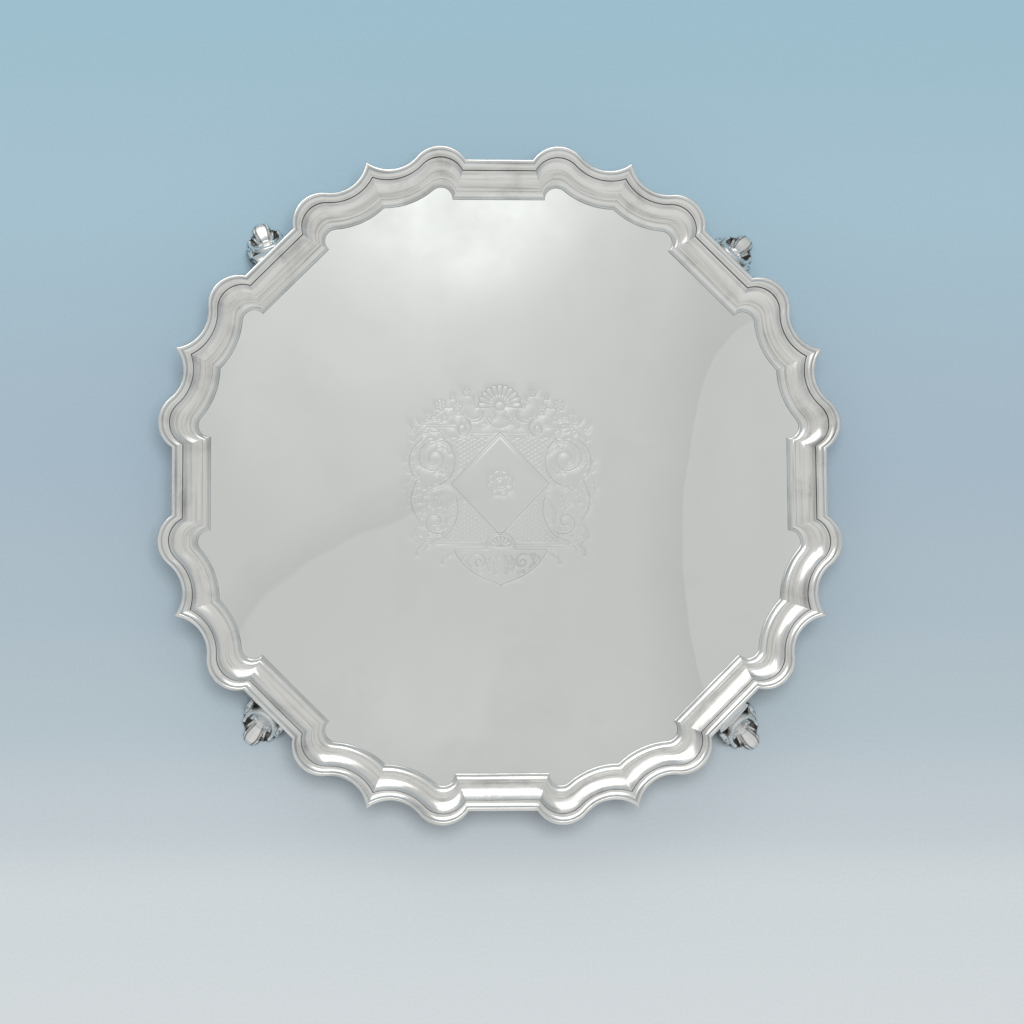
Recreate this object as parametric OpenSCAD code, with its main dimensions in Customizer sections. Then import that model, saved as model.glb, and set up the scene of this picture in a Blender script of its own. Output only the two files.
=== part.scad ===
// Round silver salver with an eight-sided moulded border and four cast feet.
// Millimetres, +Z up. The origin is the centre of the plane that the feet stand on, and -Y is the front.

/* [Tray] */
// Diameter over the eight points of the border
points_d = 324; // [260:2:400]
// Thickness of the flat plate
plate_t = 1.5; // [1.2:0.1:2.0]
// Height of the plate's underside above the table
foot_h = 24; // [20:0.5:30]

/* [Border] */
// Width of the moulded border, square to a straight side
border_w = 17.6; // [15:0.2:20]
// Height of the border's lip above the plate
lip_h = 8.6; // [7:0.1:10]
// Width of the flange that lies on the plate
seat_w = 3.4; // [2.5:0.1:4]
// Depth of the rebate in the plate that the flange sits in
seat_depth = 0.3; // [0.2:0.05:0.5]

/* [Feet] */
// Reach of a toe from the salver's centre, as a share of the points' radius
toe_reach = 1.05; // [1.01:0.002:1.06]
// Width of a foot across its scrolls
foot_w = 22; // [18:0.5:26]
// Diameter of the round pad that joins a foot to the plate
pad_d = 16; // [12:0.5:18]
// Width and height of the solder fillet round a pad
fillet = 1.2; // [0.6:0.1:1.6]

/* [Resolution] */
// Steps along each convex lobe of the border
lobe_steps = 7; // [4:1:12]
// Steps along each hollow of the border
hollow_steps = 6; // [4:1:12]

// Degrees that the back left foot is turned about its knee, as it was soldered on
back_left_turn = -25; // [-28:1:10]
// Degrees that the front left foot is turned about its knee
front_left_turn = 8; // [-10:1:12]
/* [Hidden] */
sides = 8;
sector = 360 / sides;
points_r = points_d / 2;
plate_top = foot_h + plate_t;
plate_inset = border_w - seat_w; // from the border's outer edge to the plate's edge

// The border's outline at its outer edge: a straight side, a convex lobe, and a hollow that runs up
// to the point. Places are shares of points_r, with X along the side and Y outwards.
side_r = points_r * 0.9315;
lobe_at = points_r * [0.1694, 0.8845];
lobe_r = points_r * 0.0866;
hollow_at = points_r * [0.3172, 1.0039];

// How the arcs change for each millimetre that a moulding line lies inside the outer edge
lobe_drift = [-0.03, -0.55];
lobe_shrink = 0.49;
hollow_drift = [0.136, 0.13];

// The border's section as [share of border_w inwards, share of lip_h above the plate]
upper_line = [
    [0.000, 0.87], [0.014, 0.96], [0.051, 1.00], [0.092, 0.97], [0.112, 0.91], // lip bead
    [0.180, 0.83], [0.264, 0.80],                                              // cove
    [0.284, 0.69], [0.380, 0.53], [0.510, 0.40], [0.640, 0.34], [0.775, 0.32], // broad hollow
    [0.795, 0.265], [0.865, 0.23], [0.930, 0.15], [0.966, 0.06]                // ovolo
];
under_line = [
    [0.500, 0.23], [0.340, 0.38], [0.235, 0.58], [0.205, 0.655], [0.060, 0.72], [0.014, 0.79]
];
rebate_gap = 0.05; // between the flange's inner edge and the rebate's wall
seam_w = 1.0;   // solder between the plate's edge and the border, seen in section
seam_rise = 0.7; // height of its upper edge above the plate
seam_drop = 0.9; // depth of its lower edge below the plate's top

// ---- The border's outline -------------------------------------------------------------------

function lobe_centre(d) = lobe_at + d * lobe_drift;
function lobe_radius(d) = lobe_r - d * lobe_shrink;
function hollow_centre(d) = hollow_at + d * hollow_drift;
function hollow_radius(d) = norm(hollow_centre(d) - lobe_centre(d)) - lobe_radius(d);
function polar(r, a) = r * [cos(a), sin(a)];
function bearing(p) = atan2(p.y, p.x);
function turned(p, a) = [p.x * cos(a) - p.y * sin(a), p.x * sin(a) + p.y * cos(a)];

// Where the straight side meets the lobe
function corner(d) = let (rise = side_r - d - lobe_centre(d).y)
    [lobe_centre(d).x - sqrt(lobe_radius(d)^2 - rise^2), side_r - d];

// Where the hollow meets the mitre, the line half a sector round from the middle of the side
function tip(d) = let (u = polar(1, 90 - sector / 2), c = hollow_centre(d), off = cross(u, c))
    u * (c * u - sqrt(hollow_radius(d)^2 - off^2));

function arc(c, r, from, to, steps) = [for (k = [1:steps]) c + polar(r, from + (to - from) * k / steps)];

// From the middle of a side to the mitre, d millimetres inside the border's outer edge
function half_side(d) = let (
        c = lobe_centre(d),
        h = hollow_centre(d),
        lean = bearing(h - c),
        start = bearing(corner(d) - c),
        stop = bearing(tip(d) - h)
    ) concat(
        [[0, side_r - d], corner(d)],
        arc(c, lobe_radius(d), start < 0 ? start + 360 : start, lean, lobe_steps),
        arc(h, hollow_radius(d), lean - 180, stop, hollow_steps)
    );

// One whole side, from mitre to mitre
function side_line(d) = let (half = half_side(d), n = len(half))
    concat([for (k = [n - 1:-1:1]) [-half[k].x, half[k].y]], half);

// All eight sides as one closed outline
function whole_line(d) = let (one = side_line(d))
    [for (s = [0:sides - 1]) for (k = [0:len(one) - 2]) turned(one[k], -sector * s)];

// ---- Solids swept along the outline ---------------------------------------------------------

// A closed section of [inset, height] points, carried along one side between its two mitres
module mitred_sweep(section) {
    lines = [for (p = section) side_line(p[0])];
    n = len(section);
    m = len(lines[0]);
    polyhedron(
        points = [for (k = [0:m - 1]) for (j = [0:n - 1]) [lines[j][k].x, lines[j][k].y, section[j][1]]],
        faces = concat(
            [[for (j = [0:n - 1]) n - 1 - j]],
            [[for (j = [0:n - 1]) (m - 1) * n + j]],
            [for (k = [0:m - 2]) for (j = [0:n - 1]) [k * n + j, k * n + (j + 1) % n, (k + 1) * n + j]],
            [for (k = [0:m - 2]) for (j = [0:n - 1])
                [k * n + (j + 1) % n, (k + 1) * n + (j + 1) % n, (k + 1) * n + j]]
        ),
        convexity = 6
    );
}

// The same, carried round the whole outline
module ring_sweep(section) {
    lines = [for (p = section) whole_line(p[0])];
    n = len(section);
    m = len(lines[0]);
    polyhedron(
        points = [for (k = [0:m - 1]) for (j = [0:n - 1]) [lines[j][k].x, lines[j][k].y, section[j][1]]],
        faces = concat(
            [for (k = [0:m - 1]) for (j = [0:n - 1])
                [k * n + j, k * n + (j + 1) % n, ((k + 1) % m) * n + j]],
            [for (k = [0:m - 1]) for (j = [0:n - 1])
                [k * n + (j + 1) % n, ((k + 1) % m) * n + (j + 1) % n, ((k + 1) % m) * n + j]]
        ),
        convexity = 6
    );
}

// ---- Sub-parts ------------------------------------------------------------------------------

// The flat sheet, cut to the border's outline so that it reaches under the flange, with a shallow
// rebate round its edge for the flange
module tray_plate() {
    color("gainsboro")
        translate([0, 0, foot_h])
            union() {
                linear_extrude(plate_t - seat_depth) polygon(whole_line(plate_inset));
                linear_extrude(plate_t) polygon(whole_line(border_w + rebate_gap));
            }
}

// One of the eight castings that are mitred together at the points
module border_section(index) {
    section = concat(
        [for (p = upper_line) [p[0] * border_w, plate_top + p[1] * lip_h]],
        [[border_w, plate_top + 0.04 * lip_h], [border_w, plate_top - seat_depth],
            [plate_inset, plate_top - seat_depth], [plate_inset - seam_w, plate_top + seam_rise]],
        [for (p = under_line) [p[0] * border_w, plate_top + p[1] * lip_h]]
    );
    color("silver")
        rotate([0, 0, sector * (index - 1) - 90])
            mitred_sweep(section);
}

// Solder along the plate's edge, in the corner under the border
module border_solder() {
    color("lightgray")
        ring_sweep([
            [plate_inset, plate_top - seat_depth],
            [plate_inset, plate_top - seam_drop],
            [plate_inset - seam_w, plate_top + seam_rise]
        ]);
}

// ---- Feet: X is outwards from the salver's centre, Y runs along the border's side ------------

toe_r = points_r * toe_reach;
pad_at = side_r - plate_inset - pad_d / 2 - fillet - 2.5; // the pad stays inside the plate's edge
knee_r = toe_r - 21; // a foot is turned about this point over its knee
// Where the feet were soldered: [side of the octagon, degrees turned, knee moved out, knee moved along]
back_right = [45, 0, 0, 0];
back_left = [135, back_left_turn, 0, -1];
front_left = [225, front_left_turn, -4, -2];
front_right = [315, 0, 0, 0];
pad_t = 2;
half_foot = foot_w / 2;
shell_root = toe_r - 8.6;
shell_z = 3.4;       // height of the middle of the shell's root
leaf_r = 1.9;        // half the thickness of the shell's middle leaf
rib_r = 1.1;
sole_d = 8;          // flat round sole that stands on the table
band_r = 0.9;
ring_sides = 16;

// Stations down the leg: [in from the toe's tip, height as a share of foot_h, half depth,
// half width as a share of half_foot]
leg = [
    [41.0, 0.955, 0.9, 0.58], [33.5, 0.943, 1.2, 0.61], [25.5, 0.918, 1.8, 0.68],
    [19.5, 0.862, 2.5, 0.80], [15.4, 0.755, 3.2, 0.88], [13.6, 0.610, 3.3, 0.76],
    [13.4, 0.470, 3.0, 0.54], [13.2, 0.345, 2.8, 0.42], [12.2, 0.230, 2.8, 0.42],
    [10.2, 0.145, 2.5, 0.44], [7.4, 0.110, 1.9, 0.42]
];

// Half of the raised band, from the top of the knee down to one side of the shell: [in from the
// toe's tip, half width, height as a share of foot_h]
band = [
    [15.4, 0.0, 0.890], [14.9, 2.0, 0.880], [13.0, 3.9, 0.815], [11.0, 5.0, 0.690],
    [10.4, 5.2, 0.540], [10.5, 4.9, 0.390], [10.0, 4.9, 0.260], [7.8, 5.3, 0.160], [5.4, 5.4, 0.090]
];

// A point on the smooth curve through a list, t from 0 to 1
function blend(p, t) = let (
        n = len(p) - 1,
        k = min(floor(t * n), n - 1),
        u = t * n - k,
        a = p[max(k - 1, 0)],
        b = p[k],
        c = p[k + 1],
        d = p[min(k + 2, n)]
    ) (2 * b + u * (c - a) + u^2 * (2 * a - 5 * b + 4 * c - d) + u^3 * (3 * b - 3 * c + d - a)) / 2;

function unit(v) = v / norm(v);

// Joins rings of points, each with the same number, into one closed solid
module loft(rings) {
    n = len(rings[0]);
    m = len(rings);
    polyhedron(
        points = [for (ring = rings) for (p = ring) p],
        faces = concat(
            [[for (j = [0:n - 1]) n - 1 - j]],
            [[for (j = [0:n - 1]) (m - 1) * n + j]],
            [for (k = [0:m - 2]) for (j = [0:n - 1]) [k * n + j, k * n + (j + 1) % n, (k + 1) * n + j]],
            [for (k = [0:m - 2]) for (j = [0:n - 1])
                [k * n + (j + 1) % n, (k + 1) * n + (j + 1) % n, (k + 1) * n + j]]
        ),
        convexity = 6
    );
}

function leg_at(t) = let (s = blend(leg, t)) [toe_r - s[0], 0, s[1] * foot_h];

module foot_leg() {
    steps = 20;
    loft([for (k = [0:steps]) let (
            t = k / steps,
            s = blend(leg, t),
            along = unit(leg_at(min(t + 0.02, 1)) - leg_at(max(t - 0.02, 0))),
            out = [-along.z, 0, along.x]
        ) [for (j = [0:ring_sides - 1]) let (a = 360 * j / ring_sides)
            leg_at(t) + out * s[2] * cos(a) + [0, half_foot * s[3] * sin(a), 0]]]);
}

// Both halves of the band as one path
function band_at(t) = let (s = blend(band, abs(2 * t - 1)))
    [toe_r - s[0], (t < 0.5 ? -1 : 1) * s[1], s[2] * foot_h];

module foot_band() {
    steps = 26;
    n = 6;
    loft([for (k = [0:steps]) let (
            t = k / steps,
            along = unit(band_at(min(t + 0.02, 1)) - band_at(max(t - 0.02, 0))),
            out = unit(cross(along, cross([1, 0, 0.3], along))),
            flat = cross(out, along)
        ) [for (j = [0:n - 1]) band_at(t) + band_r * (out * cos(360 * j / n) + flat * sin(360 * j / n))]]);
}

// One rib of the shell, from the ankle to its rounded end
module shell_rib(turn, reach) {
    hull() {
        translate([shell_root - 1, 0, shell_z]) sphere(rib_r * 0.7, $fn = 12);
        translate([shell_root, 0, 0])
            rotate([0, 0, turn])
                translate([reach - rib_r, 0, rib_r]) sphere(rib_r, $fn = 12);
    }
}

// A broad leaf in the middle, with two thin ribs on each side of it
module foot_shell() {
    hull() {
        translate([shell_root - 1, 0, shell_z]) sphere(leaf_r, $fn = 16);
        for (side = [-1, 1])
            translate([toe_r - 2.6, side * 1.8, leaf_r]) sphere(leaf_r, $fn = 16);
        translate([toe_r - leaf_r, 0, leaf_r]) sphere(leaf_r, $fn = 16);
    }
    for (side = [-1, 1]) {
        shell_rib(side * 34, toe_r - shell_root - 1.6);
        shell_rib(side * 54, toe_r - shell_root - 2.6);
    }
}

// A scroll at one upper corner, with a sunk ring round its eye
module foot_scroll(side) {
    scroll_r = 3.5;
    length = 7.5;
    translate([toe_r - 17, side * (half_foot - scroll_r), foot_h - 2 - scroll_r])
        rotate([0, 90, 0])
            rotate_extrude($fn = 28)
                polygon([
                    [0, 0], [scroll_r * 0.8, 0], [scroll_r, 1], [scroll_r, length - 1.3],
                    [scroll_r * 0.9, length - 0.4], [scroll_r * 0.75, length], [scroll_r * 0.55, length - 0.3],
                    [scroll_r * 0.5, length - 1.1], [scroll_r * 0.36, length - 1.1],
                    [scroll_r * 0.3, length + 0.1], [0, length + 0.5]
                ]);
}

// Places a foot under one side of the border
module under_side(spot) {
    rotate([0, 0, spot[0]])
        translate([knee_r + spot[2], spot[3], 0])
            rotate([0, 0, spot[1]])
                translate([-knee_r, 0, 0]) children();
}

module foot(spot) {
    color("silver")
        under_side(spot)
            union() {
                translate([pad_at, 0, foot_h - pad_t]) cylinder(h = pad_t, d = pad_d, $fn = 64);
                translate([shell_root - 2, 0, 0]) cylinder(h = 3, d = sole_d, $fn = 48);
                foot_leg();
                foot_band();
                foot_shell();
                for (side = [-1, 1]) foot_scroll(side);
            }
}

// Solder round the inner side of a foot's pad
module foot_solder(spot) {
    color("lightgray")
        under_side(spot)
            translate([pad_at, 0, foot_h])
                rotate([0, 0, 60])
                    rotate_extrude(angle = 240, $fn = 64)
                        polygon([[pad_d / 2, 0], [pad_d / 2, -fillet], [pad_d / 2 + fillet, 0]]);
}

tray_plate();
border_section(1);  // border_section_1
border_section(2);  // border_section_2
border_section(3);  // border_section_3
border_section(4);  // border_section_4
border_section(5);  // border_section_5
border_section(6);  // border_section_6
border_section(7);  // border_section_7
border_section(8);  // border_section_8
border_solder();
foot(back_right);  // foot_back_right
foot(back_left);  // foot_back_left
foot(front_left);  // foot_front_left
foot(front_right);  // foot_front_right
foot_solder(back_right);  // foot_solder_back_right
foot_solder(back_left);  // foot_solder_back_left
foot_solder(front_left);  // foot_solder_front_left
foot_solder(front_right);  // foot_solder_front_right
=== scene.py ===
import math

import bmesh
import bpy
import numpy as np
from mathutils import Matrix, Vector, noise
from mathutils.geometry import delaunay_2d_cdt


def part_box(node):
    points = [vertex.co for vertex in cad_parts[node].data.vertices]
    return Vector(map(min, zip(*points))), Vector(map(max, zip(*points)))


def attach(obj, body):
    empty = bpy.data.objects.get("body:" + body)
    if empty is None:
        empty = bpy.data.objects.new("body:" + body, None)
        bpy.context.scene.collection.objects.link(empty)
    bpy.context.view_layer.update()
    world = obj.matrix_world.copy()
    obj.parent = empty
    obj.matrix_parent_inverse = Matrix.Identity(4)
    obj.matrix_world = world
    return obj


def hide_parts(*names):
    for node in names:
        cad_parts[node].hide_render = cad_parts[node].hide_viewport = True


# A silver salver: a flat plate, an eight-sided moulded border in mitred castings, and four scroll feet.
# Everything is in metres. +Z is up and the salver stands on z = 0.

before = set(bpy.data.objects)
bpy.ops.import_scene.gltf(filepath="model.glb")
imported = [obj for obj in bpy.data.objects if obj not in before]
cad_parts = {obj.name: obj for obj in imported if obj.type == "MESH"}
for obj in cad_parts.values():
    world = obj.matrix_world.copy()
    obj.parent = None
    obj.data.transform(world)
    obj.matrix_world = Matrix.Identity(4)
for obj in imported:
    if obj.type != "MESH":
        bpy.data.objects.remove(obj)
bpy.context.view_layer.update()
mm = 0.001
quarterTurn = math.pi / 2


# ---- small helpers

def newMesh(name, points, faces):
    mesh = bpy.data.meshes.new(name)
    mesh.from_pydata(points, [], faces)
    mesh.validate()
    mesh.update()
    return mesh


def smoothExceptCreases(mesh, creaseDegrees):
    # smooth shading, with the edges that fold more than the limit kept crisp
    work = bmesh.new()
    work.from_mesh(mesh)
    bmesh.ops.recalc_face_normals(work, faces=work.faces)
    limit = math.radians(creaseDegrees)
    for face in work.faces:
        face.smooth = True
    for edge in work.edges:
        edge.smooth = len(edge.link_faces) == 2 and edge.calc_face_angle(0) < limit
    work.to_mesh(mesh)
    work.free()


def newObject(name, data):
    made = bpy.data.objects.new(name, data)
    bpy.context.scene.collection.objects.link(made)
    return made


def addPiece(name, mesh, material, stands):
    piece = newObject(name, mesh)
    if not mesh.materials:
        mesh.materials.append(material)
    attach(piece, "root")
    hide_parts(*stands)
    return piece


def smoothCurve(knots, steps):
    # a curve through the knots, with the given number of steps between each pair
    out = []
    last = len(knots) - 1
    for k in range(last):
        a = knots[max(k - 1, 0)]
        b = knots[k]
        c = knots[k + 1]
        d = knots[min(k + 2, last)]
        for s in range(steps):
            u = s / steps
            out.append(tuple(
                (2 * b[i] + u * (c[i] - a[i]) + u * u * (2 * a[i] - 5 * b[i] + 4 * c[i] - d[i])
                 + u ** 3 * (3 * b[i] - 3 * c[i] + d[i] - a[i])) / 2
                for i in range(len(b))))
    out.append(tuple(knots[last]))
    return out


# ---- the border's outline

plateLow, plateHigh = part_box("tray_plate")
plateTop = plateHigh[2]
plateUnder = plateLow[2]
sectorAngle = math.radians(45)
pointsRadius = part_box("border_section_1")[1][1] / math.sin(sectorAngle / 2)

outline = {
    "sideRadius": 0.9315,          # shares of the radius over the points
    "lobeAt": (0.1694, 0.8845),
    "lobeRadius": 0.0866,
    "hollowAt": (0.3172, 1.0039),
    "lobeDrift": (-0.03, -0.55),   # how the arcs move for each metre inside the outer edge
    "lobeShrink": 0.49,
    "hollowDrift": (0.136, 0.13),
    "straightSteps": 6,
    "lobeSteps": 22,
    "hollowSteps": 18,
}


def halfSide(inset):
    # from the middle of a side to the mitre, X along the side and Y outwards
    r = pointsRadius
    lobe = Vector(outline["lobeAt"]) * r + Vector(outline["lobeDrift"]) * inset
    lobeRadius = outline["lobeRadius"] * r - outline["lobeShrink"] * inset
    hollow = Vector(outline["hollowAt"]) * r + Vector(outline["hollowDrift"]) * inset
    hollowRadius = (hollow - lobe).length - lobeRadius
    side = outline["sideRadius"] * r - inset
    corner = Vector((lobe.x - math.sqrt(lobeRadius ** 2 - (side - lobe.y) ** 2), side))
    mitre = Vector((math.sin(sectorAngle / 2), math.cos(sectorAngle / 2)))
    off = mitre.x * hollow.y - mitre.y * hollow.x
    tip = mitre * (hollow.dot(mitre) - math.sqrt(hollowRadius ** 2 - off ** 2))
    lean = math.atan2(hollow.y - lobe.y, hollow.x - lobe.x)
    start = math.atan2(corner.y - lobe.y, corner.x - lobe.x) % (2 * math.pi)
    stop = math.atan2(tip.y - hollow.y, tip.x - hollow.x)
    steps = outline["straightSteps"]
    line = [Vector((corner.x * k / steps, side)) for k in range(steps + 1)]
    steps = outline["lobeSteps"]
    for k in range(1, steps + 1):
        a = start + (lean - start) * k / steps
        line.append(lobe + lobeRadius * Vector((math.cos(a), math.sin(a))))
    steps = outline["hollowSteps"]
    for k in range(1, steps + 1):
        a = lean - math.pi + (stop - lean + math.pi) * k / steps
        line.append(hollow + hollowRadius * Vector((math.cos(a), math.sin(a))))
    return line


def sideLine(inset):
    half = halfSide(inset)
    return [Vector((-p.x, p.y)) for p in reversed(half[1:])] + half


def wholeLine(inset):
    one = sideLine(inset)[:-1]
    out = []
    for k in range(8):
        turn = Matrix.Rotation(-sectorAngle * k, 2)
        out.extend(turn @ p for p in one)
    return out


# ---- materials

def setInputs(tree, node, values):
    # each value is a number, or the socket that feeds the input
    for key, value in values.items():
        if hasattr(value, "links"):
            tree.links.new(value, node.inputs[key])
        else:
            node.inputs[key].default_value = value


def mathNode(tree, operation, a, b=0.0, clamp=False):
    node = tree.nodes.new("ShaderNodeMath")
    node.operation = operation
    node.use_clamp = clamp
    setInputs(tree, node, {0: a, 1: b})
    return node.outputs[0]


def plusNode(tree, total, part, share, clamp=False):
    # the total and a share of one more part
    return mathNode(tree, "ADD", total, mathNode(tree, "MULTIPLY", part, share), clamp)


def rangeNode(tree, value, low, high, toLow=0.0, toHigh=1.0, ease="LINEAR"):
    node = tree.nodes.new("ShaderNodeMapRange")
    node.clamp = True
    node.interpolation_type = ease
    setInputs(tree, node, {"Value": value, "From Min": low, "From Max": high, "To Min": toLow,
                           "To Max": toHigh})
    return node.outputs["Result"]


def noiseNode(tree, vector, scale, detail=2.0, roughness=0.5, distortion=0.0):
    node = tree.nodes.new("ShaderNodeTexNoise")
    setInputs(tree, node, {"Vector": vector, "Scale": scale, "Detail": detail, "Roughness": roughness,
                           "Distortion": distortion})
    return node.outputs["Fac"]


def mappingNode(tree, vector, scale, turn=0.0, shift=(0, 0, 0), kind="POINT"):
    node = tree.nodes.new("ShaderNodeMapping")
    node.vector_type = kind
    setInputs(tree, node, {"Vector": vector, "Scale": scale, "Rotation": (0, 0, turn), "Location": shift})
    return node.outputs["Vector"]


def splitNode(tree, vector):
    node = tree.nodes.new("ShaderNodeSeparateXYZ")
    tree.links.new(vector, node.inputs[0])
    return node.outputs


def ovalReach(tree, split, cx, cy, width, height):
    # how far a place lies from the middle of an oval, 1 at its rim
    total = None
    for axis, middle, half in (("X", cx, width), ("Y", cy, height)):
        share = mathNode(tree, "DIVIDE", mathNode(tree, "SUBTRACT", split[axis], middle), half)
        square = mathNode(tree, "POWER", share, 2.0)
        total = square if total is None else mathNode(tree, "ADD", total, square)
    return mathNode(tree, "SQRT", total)


def mixNode(tree, share, a, b):
    node = tree.nodes.new("ShaderNodeMix")
    node.data_type = "RGBA"
    setInputs(tree, node, {"Factor": share, 6: a, 7: b})
    return node.outputs[2]


def newMaterial(name):
    material = bpy.data.materials.new(name)
    material.use_nodes = True
    return material, material.node_tree, material.node_tree.nodes["Principled BSDF"]


def newGroup(name, ins, outs):
    group = bpy.data.node_groups.new(name, "ShaderNodeTree")
    for label, kind, value in ins:
        socket = group.interface.new_socket(name=label, in_out="INPUT", socket_type=kind)
        if value is not None:
            socket.default_value = value
    for label, kind in outs:
        group.interface.new_socket(name=label, in_out="OUTPUT", socket_type=kind)
    return group, group.nodes.new("NodeGroupInput"), group.nodes.new("NodeGroupOutput")


scratches = {
    "lays": ((0.35, 70), (1.25, 95), (2.2, 60), (2.75, 110)),   # [angle in radians, length for its width]
    "bend": 0.4,
    "rarest": 0.86, "coverShift": 0.45,   # noise level where a scratch shows, and what cover takes off it
    "softness": 0.06,
}


def hairScratches():
    # fine straight scratches in a few directions, as a mask from 0 to 1
    group, ins, outs = newGroup(
        "hairScratches",
        [("Vector", "NodeSocketVector", None), ("Length Scale", "NodeSocketFloat", 12.0),
         ("Cover", "NodeSocketFloat", 0.3)],
        [("Scratches", "NodeSocketFloat")])
    best = None
    shift = mathNode(group, "MULTIPLY", ins.outputs["Cover"], scratches["coverShift"])
    edge = mathNode(group, "SUBTRACT", scratches["rarest"], shift)
    full = mathNode(group, "ADD", edge, scratches["softness"])
    for turn, stretch in scratches["lays"]:
        spun = mappingNode(group, ins.outputs["Vector"], (1, 1 / stretch, 1), turn, (turn, 0.3 * turn, 0),
                           "TEXTURE")
        streak = noiseNode(group, spun, ins.outputs["Length Scale"], 1.0, 0.5, scratches["bend"])
        line = rangeNode(group, streak, edge, full)
        best = line if best is None else mathNode(group, "MAXIMUM", best, line)
    group.links.new(best, outs.inputs["Scratches"])
    return group


tarnishShadeLevels = {
    "patchNoise": (0.52, 0.78),      # noise levels between which a cloud comes up
    "lineFrom": 0.3,                 # recess mask above which a drawn line is dark
    "brokenNoise": (0.2, 0.55), "brokenShare": 0.6,
    "softTo": 0.4, "softDark": 0.30,     # the soft film beside a line
    "softNoise": (0.38, 0.62),
    "regionScale": 0.35, "regionNoise": (0.42, 0.62),
}


def tarnishAndShade():
    # brown-grey film that gathers where the recess mask is high, and in faint clouds elsewhere; where the
    # mask carries painted shade, as on the feet, the film is painted shade as well
    group, ins, outs = newGroup(
        "tarnishAndShade",
        [("Vector", "NodeSocketVector", None), ("Recess", "NodeSocketFloat", 0.0),
         ("Cloud Scale", "NodeSocketFloat", 60.0), ("Clouds", "NodeSocketFloat", 0.1)],
        [("Film", "NodeSocketFloat")])
    vector, recess = ins.outputs["Vector"], ins.outputs["Recess"]
    cloud = noiseNode(group, vector, ins.outputs["Cloud Scale"], 4.0, 0.6, 0.3)
    wide = mathNode(group, "MULTIPLY", ins.outputs["Cloud Scale"], tarnishShadeLevels["regionScale"])
    region = rangeNode(group, noiseNode(group, vector, wide, 2.0, 0.5), *tarnishShadeLevels["regionNoise"])
    patch = rangeNode(group, cloud, *tarnishShadeLevels["patchNoise"])
    faint = mathNode(group, "MULTIPLY", patch, ins.outputs["Clouds"])
    broken = rangeNode(group, cloud, *tarnishShadeLevels["brokenNoise"], tarnishShadeLevels["brokenShare"], 1.0)
    line = mathNode(group, "MULTIPLY", rangeNode(group, recess, tarnishShadeLevels["lineFrom"], 1.0), broken)
    soft = rangeNode(group, recess, 0.0, tarnishShadeLevels["softTo"], 0.0, tarnishShadeLevels["softDark"])
    soft = mathNode(group, "MULTIPLY", soft, rangeNode(group, cloud, *tarnishShadeLevels["softNoise"]))
    soft = mathNode(group, "MULTIPLY", soft, region)
    deep = mathNode(group, "MAXIMUM", line, soft)
    group.links.new(mathNode(group, "ADD", faint, deep, True), outs.inputs["Film"])
    return group


sharedGroups = {"hairScratches": hairScratches(), "tarnishAndShade": tarnishAndShade()}


def placeGroup(tree, name, **values):
    node = tree.nodes.new("ShaderNodeGroup")
    node.node_tree = sharedGroups[name]
    setInputs(tree, node, {label.replace("_", " "): value for label, value in values.items()})
    return node


def paintedWellShade(tree, place, look):
    # painted shade on the well: round each oval, a thin dark film that fades outwards, giving the well's
    # slanting shade and its crisp edge
    split = splitNode(tree, place)
    waver = noiseNode(tree, place, look["waverScale"], 2.0, 0.4)
    waver = mathNode(tree, "MULTIPLY", mathNode(tree, "SUBTRACT", waver, 0.5), look["waver"])
    total = 0.0
    for cx, cy, width, height, gone, full in look["shadeOvals"]:
        far = ovalReach(tree, split, cx * mm, cy * mm, width * mm, height * mm)
        far = mathNode(tree, "ADD", far, waver)
        film = rangeNode(tree, far, 1.0 + look["shadeFade"] / width, 1.0, 0.0, look["film"])
        film = mathNode(tree, "MULTIPLY", film, rangeNode(tree, far, *look["shadeRim"]))
        film = mathNode(tree, "MULTIPLY", film, rangeNode(tree, split["X"], gone * mm, full * mm))
        total = mathNode(tree, "ADD", film, total)
    return total


finish = {"hazeNoise": (0.3, 0.7), "streakNoise": (0.5, 0.72)}     # noise levels, from none to full


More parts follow.
